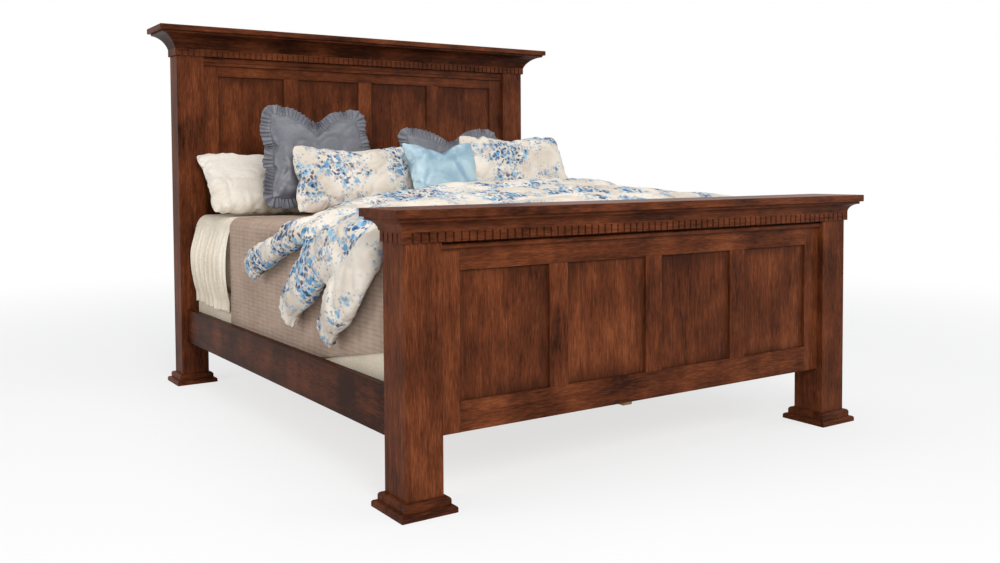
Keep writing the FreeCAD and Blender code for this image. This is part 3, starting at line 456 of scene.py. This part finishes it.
def satin_cloth():
    """Light blue satin with a soft shine and broad changes of tone."""
    shader = Shader("satin_cloth", Roughness=0.3, Specular_IOR_Level=1.0)
    place = shader.place()
    figure = shader.cloud(place, 7.0, 2.0, 0.5, 0.8).ease(0.35, 0.65)
    shader.set("Base Color", shader.blend(figure, colour(112, 146, 164),
                                          colour(158, 184, 193)))
    shader.set("Roughness", figure * 0.1 + 0.34)
    shader.bump(shader.cloud(place, 16.0, 2.0, 0.5, 0.8), 0.008, 0.5)
    return shader.material


# ---------------------------------------------------------------- mesh helpers


def piece(name, mesh, finish, body="bed", replaces=()):
    """Turn a bmesh into a smooth piece that rides on a body."""
    data = bpy.data.meshes.new(name)
    mesh.to_mesh(data)
    mesh.free()
    data.materials.append(finish)
    data.polygons.foreach_set("use_smooth", [True] * len(data.polygons))
    made = bpy.data.objects.new(name, data)
    bpy.context.scene.collection.objects.link(made)
    if replaces:
        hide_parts(*replaces)
    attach(made, body)
    return made


def modifier(made, kind, **settings):
    added = made.modifiers.new(kind.lower(), kind)
    for name, value in settings.items():
        setattr(added, name, value)
    return added


def apply_modifiers(made):
    """Replace a piece's mesh by its mesh with every modifier applied."""
    evaluated = made.evaluated_get(bpy.context.evaluated_depsgraph_get())
    finished = bpy.data.meshes.new_from_object(evaluated)
    made.modifiers.clear()
    made.data = finished


def inflate(made, pressure, frames, cap, stiffness=15.0, shrink=0.0):
    """Blow a closed cloth form up a little, so that it wrinkles as stuffed fabric does."""
    rest = [vertex.co.copy() for vertex in made.data.vertices]
    cloth = modifier(made, "CLOTH").settings
    cloth.quality = 4
    cloth.mass = 0.2
    cloth.tension_stiffness = stiffness
    cloth.compression_stiffness = stiffness
    cloth.shear_stiffness = 5.0
    cloth.bending_stiffness = 0.3
    cloth.use_pressure = True
    cloth.uniform_pressure_force = pressure
    cloth.shrink_min = shrink
    cloth.effector_weights.gravity = 0.0
    made.modifiers["cloth"].collision_settings.use_collision = False
    scene = bpy.context.scene
    for step in range(1, frames + 1):
        scene.frame_set(step)
    apply_modifiers(made)
    scene.frame_set(1)
    for vertex, place in zip(made.data.vertices, rest):
        move = vertex.co - place
        if move.length > cap:
            vertex.co = place + move.normalized() * cap


def grid_mesh(columns, rows, shape):
    """A grid whose point (s, t), each from 0 to 1, moves to shape(s, t)."""
    mesh = bmesh.new()
    bmesh.ops.create_grid(mesh, x_segments=columns, y_segments=rows, size=0.5)
    for vertex in mesh.verts:
        vertex.co = shape(vertex.co.x + 0.5, vertex.co.y + 0.5)
    return mesh


def normals(made):
    """A copy of every point's normal."""
    return [vertex.normal.copy() for vertex in made.data.vertices]


def crease(x, y, z):
    """A field of sharp valleys, from 0 to 1."""
    return max(0.0, 1 - abs(noise.noise(Vector((x, y, z)))) * 5)


# ---------------------------------------------------------------- mattress and foundation


def upholstered_box(name, low, high, rounding, finish, slot, crown=0.0):
    """A covered block with rounded edges, whose top falls a little towards its rim."""
    mesh = bmesh.new()
    bmesh.ops.create_cube(mesh, size=1.0)
    size, centre = Vector(high) - Vector(low), (Vector(low) + Vector(high)) / 2
    bmesh.ops.scale(mesh, vec=size, verts=mesh.verts)
    bmesh.ops.bevel(mesh, geom=mesh.edges[:], offset=rounding, segments=5, affect="EDGES",
                    profile=0.5, material=-1)
    for axis, count in enumerate((24, 24, 4)):
        for step in range(1, count):
            at = Vector()
            at[axis] = size[axis] * (step / count - 0.5) * 0.94
            way = Vector()
            way[axis] = 1.0
            bmesh.ops.bisect_plane(mesh, geom=mesh.verts[:] + mesh.edges[:] + mesh.faces[:],
                                   plane_co=at, plane_no=way)
    for vertex in mesh.verts:
        rise = (1 - (2 * vertex.co.x / size.x) ** 4) * (1 - (2 * vertex.co.y / size.y) ** 4)
        vertex.co.z -= crown * (1 - max(0.0, rise)) * (vertex.co.z > 0)
    bmesh.ops.translate(mesh, vec=centre, verts=mesh.verts)
    made = piece(name, mesh, finish, replaces=(name.replace("_cover", ""),))
    return made


# ---------------------------------------------------------------- quilt and sheet

HALF_MATTRESS = 0.9653
MATTRESS_TOP = 0.8349
FOOT_END, HEAD_END = -0.9943, 1.0383
QUILT_THICK = 0.009
QUILT_HEAD_EDGE = 0.5395
QUILT_ROUNDING = 0.054


def quilt():
    """The quilt over the foot of the bed, with soft dips and a wavering hem."""
    side, top = HALF_MATTRESS + QUILT_THICK, MATTRESS_TOP + QUILT_THICK
    foot, head, low = FOOT_END - QUILT_THICK, 0.7, 0.2
    size = Vector((2 * side, head - foot, top - low))
    mesh = bmesh.new()
    bmesh.ops.create_cube(mesh, size=1.0)
    bmesh.ops.scale(mesh, vec=size, verts=mesh.verts)
    bmesh.ops.translate(mesh, vec=(0, (head + foot) / 2, (top + low) / 2), verts=mesh.verts)
    kept = [edge for edge in mesh.edges
            if any(abs(vertex.co.z - low) > 1e-5 for vertex in edge.verts)
            and any(abs(vertex.co.y - head) > 1e-5 for vertex in edge.verts)]
    bmesh.ops.bevel(mesh, geom=kept, offset=QUILT_ROUNDING, segments=6, affect="EDGES", profile=0.5,
                    material=-1)
    everything = mesh.verts[:] + mesh.edges[:] + mesh.faces[:]
    bmesh.ops.bisect_plane(mesh, geom=everything, plane_co=(0, QUILT_HEAD_EDGE, 0),
                           plane_no=(0, 1, 0), clear_outer=True)
    bottom = [face for face in mesh.faces if face.calc_center_median().z < low + 1e-4]
    bmesh.ops.delete(mesh, geom=bottom, context="FACES")
    cuts = ((0, -side, side, 64), (1, foot, 0.54, 60), (2, low, top, 26))
    for axis, lowest, highest, count in cuts:
        for step in range(1, count):
            at, way = Vector(), Vector()
            at[axis] = lowest + (highest - lowest) * step / count
            way[axis] = 1.0
            bmesh.ops.bisect_plane(mesh, geom=mesh.verts[:] + mesh.edges[:] + mesh.faces[:],
                                   plane_co=at, plane_no=way)
    bend = top - 0.06
    # The hem's height at stations from the foot towards the head.
    hem = ((-1.02, 0.462), (-0.91, 0.462), (-0.25, 0.332), (0.56, 0.332))
    for (start, start_high), (stop, stop_high) in zip(hem, hem[1:]):
        for vertex in mesh.verts:
            y, z = vertex.co.y, vertex.co.z
            if start <= y < stop:
                share = (y - start) / (stop - start)
                level = start_high + (stop_high - start_high) * share
                if z < bend:
                    vertex.co.z = level + (z - low) / (bend - low) * (bend - level)
    for vertex in mesh.verts:
        x, y, z = vertex.co
        ease = min(1.0, max(0.0, (top - z) / 0.3))
        if abs(x) > HALF_MATTRESS - 0.02:
            wave = noise.noise(Vector((1.0, y * 3.2, z * 2.2))) * 0.0035 * ease
            vertex.co.x -= math.copysign(abs(wave), x)
        else:
            vertex.co.z -= abs(noise.noise(Vector((x * 3, y * 3, 0)))) * 0.003
    finish = quilted_cloth()
    made = piece("quilt_cover", mesh, finish, replaces=("quilt",))
    modifier(made, "SOLIDIFY", thickness=0.008, offset=-1.0)
    modifier(made, "BEVEL", width=0.003, segments=2, limit_method="ANGLE")


def pleat(y, high, seed):
    """How far the gathered fall of the sheet stands out at one place, from 0 to 1."""
    drift = noise.noise(Vector((y * 7 + seed, high * 1.3, seed))) * 0.35
    wide = 0.5 + 0.5 * math.sin((y * 94 + high * 5 + drift * 9) + seed)
    fine = 0.5 + 0.5 * math.sin(y * 231 + high * 9 + 3 * drift + 2 * seed)
    return 0.55 * wide ** 1.6 + 0.45 * fine ** 1.4


def sheet():
    """The cream sheet over the head of the bed, gathered where it falls over the sides."""
    cover, rounding = 0.004, 0.049
    side, top = HALF_MATTRESS + cover, MATTRESS_TOP + cover
    flat_half = side - rounding
    corner = rounding * math.pi / 2
    foot, head = 0.541, HEAD_END + cover

    def shape(s, t):
        left = s < 0.5
        y = foot + (head - foot) * t
        hem = 0.41 + 0.012 * noise.noise(Vector((y * 9, s, 2.0))) + 0.02 * (y - foot)
        fall = top - rounding - hem
        reach = abs(s - 0.5) * 2 * (flat_half + corner + fall)
        head_round = max(0.0, y - (head - 0.05)) / 0.05
        if reach < flat_half:
            x, z = reach, top
        elif reach < flat_half + corner:
            angle = (reach - flat_half) / rounding
            x = flat_half + rounding * math.sin(angle)
            z = top - rounding + rounding * math.cos(angle)
        else:
            drop = reach - flat_half - corner
            share = drop / fall
            z = top - rounding - drop
            belly = math.sin(min(1.0, share * 1.15) * math.pi) ** 0.8 if share < 0.87 else 0.0
            depth = 0.004 + 0.019 * min(1.0, share * 3)
            x = side + 0.026 * belly + depth * pleat(y, z, 0.0 if left else 4.0)
            x -= 0.020 * head_round ** 2
        dip = abs(noise.noise(Vector((x * 4, y * 6, 1.0)))) * 0.003
        z -= dip + 0.03 * head_round ** 2 * (reach < flat_half + corner)
        return Vector((-x if left else x, y, z))

    mesh = grid_mesh(300, 128, shape)
    finish = plain_cloth("cream_cotton_finish", colour(230, 221, 205), colour(206, 193, 173))
    made = piece("sheet_cover", mesh, finish, replaces=("sheet",))
    modifier(made, "SOLIDIFY", thickness=0.002, offset=-1.0)


# ---------------------------------------------------------------- duvet


def outside_bed(place, gap=0.0006):
    """Move a point of the duvet out of the quilt if it lies inside it."""
    side, top = HALF_MATTRESS + QUILT_THICK + gap, MATTRESS_TOP + QUILT_THICK + gap
    rounding = QUILT_ROUNDING
    across, high = abs(place.x) - (side - rounding), place.z - (top - rounding)
    if across <= 0:
        place.z = max(place.z, top)
    elif high <= 0:
        place.x = math.copysign(max(abs(place.x), side), place.x)
    else:
        reach = math.hypot(across, high)
        if reach < rounding:
            grow = rounding / max(reach, 1e-6)
            place.x = math.copysign(side - rounding + across * grow, place.x)
            place.z = top - rounding + high * grow


# The duvet stays on the bed's side of this plane along the bed.
FOOTBOARD_FACE = -0.962

# The middle line of each fold that hangs over the left side, from the top of the bed down.
HANGING_FOLDS = (
    ((-0.97, -0.368, 0.856), (-1.016, -0.285, 0.812), (-1.022, -0.075, 0.738),
     (-1.016, 0.110, 0.678)),
    ((-0.97, -0.690, 0.852), (-1.020, -0.620, 0.786), (-1.028, -0.385, 0.640),
     (-1.014, -0.245, 0.540)),
    ((-0.97, -0.905, 0.846), (-1.012, -0.890, 0.790), (-1.024, -0.708, 0.613),
     (-1.012, -0.575, 0.510)),
)


def along_fold(place):
    """Where a point lies on the nearest hanging fold.

    Gives its distance from the fold's end, its offset from the middle line and the fold's way.
    """
    nearest = None
    for line in HANGING_FOLDS:
        points = [Vector(point) for point in line]
        left = sum((stop - start).length for start, stop in zip(points, points[1:]))
        for start, stop in zip(points, points[1:]):
            run = stop - start
            way = run.normalized()
            share = min(max((place - start).dot(way), 0.0), run.length)
            if stop is points[-1]:
                share = max((place - start).dot(way), 0.0)
            offset = place - start - way * share
            if nearest is None or offset.length < nearest[1].length:
                nearest = left - share, offset, way
            left -= run.length
    return nearest


def duvet(finish):
    """The duvet in three full folds that hang over the left side."""
    mesh = bmesh.new()
    mesh.from_mesh(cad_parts["duvet"].data)
    made = piece("duvet_cover", mesh, finish, "duvet_body", ("duvet",))
    modifier(made, "REMESH", mode="VOXEL", voxel_size=0.0165)
    modifier(made, "SMOOTH", factor=0.5, iterations=3)
    apply_modifiers(made)
    for vertex, normal in zip(made.data.vertices, normals(made)):
        x, y, z = vertex.co
        vertex.co += normal * noise.noise(Vector((x * 3.2, y * 7, z * 7))) * 0.011
    inflate(made, 4.0, 16, 0.014)
    modifier(made, "SUBSURF", levels=1, render_levels=1)
    apply_modifiers(made)
    for vertex, normal in zip(made.data.vertices, normals(made)):
        x, y, z = vertex.co
        folds = crease(x * 2.6 + y * 1.2, y * 9 - x, z * 5) * 0.009
        folds += crease(x * 7 + y * 3, y * 13 + x * 4, z * 11 + 4) * 0.004
        if x < -0.93:
            rest, offset, way = along_fold(vertex.co)
            side = way.cross(Vector((-1, 0, 0))).normalized()
            round_it = math.atan2(offset.dot(side), -offset.x)
            near = max(0.0, 1 - max(rest, 0.0) / 0.34)
            ridge = noise.noise(Vector((round_it * 2.6, rest * 4, way.y * 9)))
            gather = noise.noise(Vector((round_it * 6.5, rest * 5, way.z * 9 + 3)))
            folds += 0.016 * near * max(0.0, 0.5 - abs(ridge) * 2.4)
            folds += 0.020 * near ** 3 * max(0.0, 0.5 - abs(gather) * 1.8)
            if rest < 0.05:
                vertex.co -= way * 0.055 * max(0.0, 1 - offset.length / 0.055) \
                    * min(1.0, (0.05 - rest) / 0.05)
                folds -= 0.010 * min(1.0, (0.05 - rest) / 0.04) * (0.4 + gather)
        vertex.co -= normal * folds
    for vertex in made.data.vertices:
        outside_bed(vertex.co)
        vertex.co.y = max(vertex.co.y, FOOTBOARD_FACE)
    made.data.polygons.foreach_set("use_smooth", [True] * len(made.data.polygons))


# The half width and half thickness of each hanging fold at its end.
FOLD_ENDS = ((0.062, 0.034), (0.070, 0.032), (0.062, 0.031))


def fold_hem(number, finish):
    """The gathered hem round the open end of one hanging fold."""
    before, end = [Vector(point) for point in HANGING_FOLDS[number][-2:]]
    half_width, half_thick = FOLD_ENDS[number]
    way = (end - before).normalized()
    out = (Vector((-1, 0, 0)) + way * way.x).normalized()
    wide = way.cross(out)
    pleats = 11

    def shape(s, t):
        turn = s * 2 * math.pi
        round_it = Vector((math.cos(turn) * 2, math.sin(turn) * 2, number * 5))
        swing = turn * pleats + 3 * noise.noise(round_it)
        full = 0.5 + 0.5 * noise.noise(round_it * 2.3)
        gather = math.sin(swing) * full * 0.09 * t ** 0.8 + 0.12 * noise.noise(round_it) * t
        size = 0.98 - 0.1 * math.sin(t * math.pi * 0.9) + 0.08 * t ** 2 + gather
        reach = -0.030 + 0.070 * t + 0.012 * noise.noise(round_it * 1.3) * t
        place = end + way * reach + wide * half_width * size * math.cos(turn) \
            + out * half_thick * size * math.sin(turn)
        outside_bed(place)
        return place

    mesh = grid_mesh(pleats * 9, 9, shape)
    bmesh.ops.remove_doubles(mesh, verts=mesh.verts, dist=0.0001)
    made = piece(f"duvet_hem_{number + 1}", mesh, finish, "duvet_body")
    modifier(made, "SOLIDIFY", thickness=0.0016, offset=0.0)


# ---------------------------------------------------------------- cushions

# Width, height and thickness, then the centre across, along and up, all in metres, then the
# lean back from upright and the turn in its own plane, in degrees.
CUSHIONS = {
    "white_pillow_left": (0.920, 0.500, 0.128, -0.548, 0.848, 0.996, 58, 0),
    "white_pillow_right": (0.920, 0.500, 0.128, 0.480, 0.848, 0.996, 58, 0),
    "grey_sham_left": (0.620, 0.520, 0.106, -0.490, 0.622, 1.112, 20, -2),
    "grey_sham_right": (0.680, 0.440, 0.106, 0.287, 0.622, 1.064, 20, 0),
    "floral_sham_left": (0.650, 0.330, 0.140, -0.380, 0.452, 1.012, 22, 0),
    "floral_sham_right": (0.680, 0.385, 0.140, 0.547, 0.452, 1.044, 22, 0),
    "blue_pillow": (0.430, 0.345, 0.106, 0.020, 0.306, 1.022, 24, 0),
}
RUFFLE = 0.046
CUSHION_GRID = 0.0125
PLEAT = 0.017


def stand(mesh_or_data, centre, lean, turn):
    """Lean a form that lies flat, and put it in its place."""
    placing = (Matrix.Translation(centre) @ Matrix.Rotation(math.radians(90 - lean), 4, "X")
               @ Matrix.Rotation(math.radians(turn), 4, "Z"))
    mesh_or_data.transform(placing)


def stuffed(width, height, thick, dip, bulge):
    """A cushion lying flat: two faces of cloth joined round a seam, slightly filled.

    Its top edge dips in the middle, and its sides bulge by a share of its height.
    """
    columns, rows = round(width / CUSHION_GRID), round(height / CUSHION_GRID)
    mesh = bmesh.new()
    bmesh.ops.create_grid(mesh, x_segments=columns, y_segments=rows, size=0.5)
    raised = bmesh.ops.extrude_face_region(mesh, geom=mesh.faces[:])["geom"]
    front = {item for item in raised if isinstance(item, bmesh.types.BMVert)}
    rim = {}
    for vertex in mesh.verts:
        u, v = 2 * vertex.co.x, 2 * vertex.co.y
        room = max(0.0, (1 - u * u) * (1 - v * v)) ** 0.4
        depth = 0.002 + 0.34 * thick * room
        if vertex not in front and max(abs(u), abs(v)) > 0.999:
            rim[vertex] = math.atan2(v, u)
        soft = 1 - 0.035 * (u * v) ** 8
        vertex.co.x = u * (width / 2 + bulge * height * (1 - v * v)) * soft
        vertex.co.y = v * (height / 2 + bulge * height * (1 - u * u)) * soft
        vertex.co.y -= dip * math.exp(-(u / 0.42) ** 2) * max(0.0, v) ** 1.5
        vertex.co.x *= 1 - 0.045 * v
        vertex.co.z = depth if vertex in front else -depth
    bmesh.ops.recalc_face_normals(mesh, faces=mesh.faces)
    mesh.verts.index_update()
    order = [vertex.index for vertex in sorted(rim, key=rim.get)]
    return mesh, order


def pucker(made, width, height, depth, seed):
    """Gather the cloth towards the seams, and crease the faces."""
    for vertex, normal in zip(made.data.vertices, normals(made)):
        x, y, z = vertex.co
        end, side = min(1.0, abs(2 * x / width)) ** 4, min(1.0, abs(2 * y / height)) ** 3
        face = 5.0 if z > 0 else 8.0
        upright = noise.noise(Vector((x * 34, y * 6, seed + face)))
        level = noise.noise(Vector((x * 6, y * 34, seed - face)))
        dents = noise.noise(Vector((x * 9 + y * 4, y * 8 - x * 3, seed + face)))
        lines = crease(x * 4 + y * 7, y * 5 - x * 6, seed + face)
        lines += crease(x * 9 - y * 5, y * 8 + x * 3, seed + 3 + face) * 0.6
        push = upright * side + level * end + dents * 0.9 - lines * 0.7
        vertex.co += normal * depth * push * min(1.0, abs(z) / 0.014)


def cushion(name, finish, depth=0.005, dip=0.0, bulge=0.04):
    """One cushion, blown up as cloth and stood in its place; a grey sham gets its ruffle."""
    width, height, thick, across, along, up, lean, turn = CUSHIONS[name]
    ruffled = name.startswith("grey")
    if ruffled:
        width, height = width - 2 * RUFFLE, height - 2 * RUFFLE
    mesh, rim = stuffed(width, height, thick, dip, bulge)
    made = piece(name + "_cover", mesh, finish, name + "_body", (name,))
    inflate(made, 7.0, 24, 0.05, 12.0, -0.035)
    points = [vertex.co for vertex in made.data.vertices]
    for axis, size in enumerate((width, height, thick)):
        low = min(point[axis] for point in points)
        high = max(point[axis] for point in points)
        for point in points:
            point[axis] = (point[axis] - (low + high) / 2) * size / (high - low)
    seam = [made.data.vertices[index].co.copy() for index in rim]
    modifier(made, "SUBSURF", levels=1, render_levels=1)
    apply_modifiers(made)
    pucker(made, width, height, depth, across * 10)
    stand(made.data, (across, along, up), lean, turn)
    made.data.polygons.foreach_set("use_smooth", [True] * len(made.data.polygons))
    if ruffled:
        ruffle(name, seam, finish)


def ruffle(name, seam, finish):
    """The pleated border that runs round a sham's seam."""
    across, along, up, lean, turn = CUSHIONS[name][3:]
    count = len(seam)
    ways = []
    for index in range(count):
        run = seam[(index + 2) % count] - seam[index - 2]
        ways.append(Vector((run.y, -run.x, 0)).normalized())
    pleats = round(count * CUSHION_GRID / PLEAT)

    def shape(s, t):
        walk = (s % 1.0) * count
        first, part = int(walk) % count, walk % 1.0
        place = seam[first].lerp(seam[(first + 1) % count], part)
        out = ways[first].lerp(ways[(first + 1) % count], part).normalized()
        swing = s * pleats * 2 * math.pi + 2.2 * noise.noise(Vector((s * 40, 0, across)))
        full = 0.55 + 0.5 * noise.noise(Vector((s * 60, 3.0, across)))
        lie = Vector((-out.y, out.x, 0)) * (math.cos(swing) * 0.003 * t)
        flop = (0.018 * noise.noise(Vector((s * 17, 7.0, across)))) * t
        depth = RUFFLE * (1.12 + 0.12 * noise.noise(Vector((s * 30, 5.0, across))))
        rise = math.sin(swing) * full * 0.010 * t ** 0.7 + flop
        return place - out * 0.006 + out * depth * t + lie + Vector((0, 0, rise))

    mesh = grid_mesh(pleats * 8, 7, shape)
    stand(mesh, (across, along, up), lean, turn)
    made = piece(name + "_ruffle", mesh, finish, name + "_body")
    modifier(made, "SOLIDIFY", thickness=0.0014, offset=0.0)


# ---------------------------------------------------------------- the whole bed

photo_camera()
for lamp in LAMPS:
    soft_lamp(*lamp)
pale_floor()
pale_world()
bpy.context.scene.view_settings.view_transform = "Standard"
noise.seed_set(7)
dress_frame()

ticking = plain_cloth("ticking_finish", colour(226, 214, 194), colour(204, 190, 168))
upholstered_box("mattress_cover", *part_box("mattress"), 0.045, ticking, "ticking", 0.004)
for side in ("left", "right"):
    upholstered_box(f"foundation_{side}_cover", *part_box(f"foundation_{side}"), 0.02, ticking,
                    "ticking")
quilt()
sheet()
print_finish = printed_cloth()
duvet(print_finish)
for fold in range(3):
    fold_hem(fold, print_finish)
white = plain_cloth("white_cotton_finish", colour(226, 219, 208), colour(209, 199, 184))
grey = plain_cloth("grey_linen_finish", colour(104, 104, 111), colour(86, 86, 94), 700.0,
                   rough=0.4, gloss=0.5)
satin = satin_cloth()
for side in ("left", "right"):
    cushion(f"white_pillow_{side}", white, 0.011, 0.03, 0.02)
    cushion(f"grey_sham_{side}", grey, 0.006, 0.042, 0.025)
    cushion(f"floral_sham_{side}", print_finish, 0.008, 0.02, 0.05)
cushion("blue_pillow", satin, 0.006, 0.02, -0.01)
